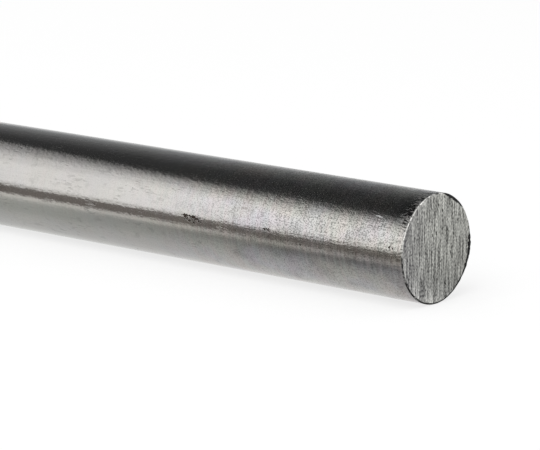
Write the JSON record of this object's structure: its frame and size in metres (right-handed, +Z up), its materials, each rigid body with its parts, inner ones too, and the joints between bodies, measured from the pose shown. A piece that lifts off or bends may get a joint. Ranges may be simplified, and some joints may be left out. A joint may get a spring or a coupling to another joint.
{
  "type": "round metal bar",
  "caption": "Solid round steel bar lying on its side, drawn smooth along its length, with a flat saw-cut face at each end.",
  "frame": {"origin": "middle of the line that the bar rests on, halfway along its length", "axes": "+X along the bar's axis, +Z up from the level surface that it lies on, +Y across it"},
  "size_m": [0.3, 0.025, 0.025],
  "materials": {
    "drawn_steel": "bright drawn, with saw-cut ends"
  },
  "bodies": {
    "root": {"round_bar": "drawn_steel"}
  },
  "joints": []
}
